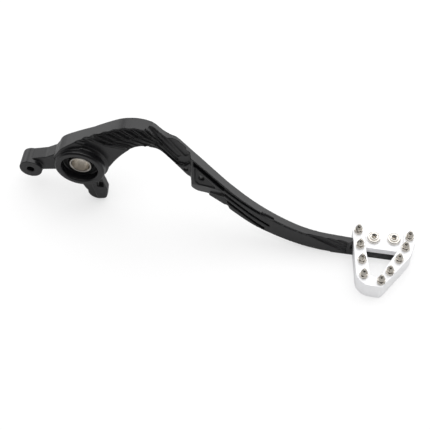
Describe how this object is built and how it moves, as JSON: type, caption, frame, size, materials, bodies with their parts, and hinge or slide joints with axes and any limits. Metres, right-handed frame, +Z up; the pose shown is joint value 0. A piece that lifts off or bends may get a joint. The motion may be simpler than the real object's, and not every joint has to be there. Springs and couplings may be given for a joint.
{
  "type": "rear brake pedal",
  "caption": "Foot lever with a bearing hub, push-rod lug, spring lug, fluted swept arm and a bolted triangular toe plate with pointed grip pins.",
  "frame": {"origin": "on the axis of the pivot sleeve's bore, 16 mm behind the hub's outer face", "axes": "+X forwards from the pivot to the toe plate, +Y along the pivot away from the rider's boot towards the frame of the motorbike, +Z up as the pedal stands on its spring lug and toe plate"},
  "size_m": [0.3243, 0.0791, 0.0939],
  "materials": {
    "black_anodised_lever": "forged and machined aluminium, satin black anodised",
    "steel_sleeve": "ground and plated steel",
    "drawn_steel_cup": "drawn steel, oiled",
    "sheet_steel_cage": "formed steel, oiled",
    "needle_steel": "ground bearing steel",
    "seal_rubber": "moulded nitrile rubber",
    "machined_aluminium": "milled and clear anodised aluminium",
    "plated_screw": "nickel-plated steel",
    "nickel_pin": "turned and nickel-plated steel"
  },
  "bodies": {
    "pedal": {"pedal_lever": "black_anodised_lever", "bearing_cup": "drawn_steel_cup", "outer_dust_seal": "seal_rubber", "inner_dust_seal": "seal_rubber", "toe_plate": "machined_aluminium", "toe_screw_1": "plated_screw", "toe_screw_2": "plated_screw", "grip_pin_1": "nickel_pin", "grip_pin_2": "nickel_pin", "grip_pin_3": "nickel_pin", "grip_pin_4": "nickel_pin", "grip_pin_5": "nickel_pin", "grip_pin_6": "nickel_pin", "grip_pin_7": "nickel_pin", "grip_pin_8": "nickel_pin", "grip_pin_9": "nickel_pin"},
    "sleeve": {"pivot_sleeve": "steel_sleeve"},
    "cage": {"needle_cage": "sheet_steel_cage", "needle_1": "needle_steel", "needle_2": "needle_steel", "needle_3": "needle_steel", "needle_4": "needle_steel", "needle_5": "needle_steel", "needle_6": "needle_steel", "needle_7": "needle_steel", "needle_8": "needle_steel", "needle_9": "needle_steel", "needle_10": "needle_steel", "needle_11": "needle_steel", "needle_12": "needle_steel", "needle_13": "needle_steel", "needle_14": "needle_steel"}
  },
  "joints": [
    {"name": "sleeve_turn", "type": "hinge", "parent": "pedal", "child": "sleeve", "pos_m": [0, 0, 0], "axis": [0, 1, 0], "continuous": true},
    {"name": "cage_turn", "type": "hinge", "parent": "pedal", "child": "cage", "pos_m": [0, 0, 0], "axis": [0, 1, 0], "continuous": true}
  ],
  "couplings": [
    {"joint": "cage_turn", "follows": "sleeve_turn", "ratio": 0.4525}
  ]
}
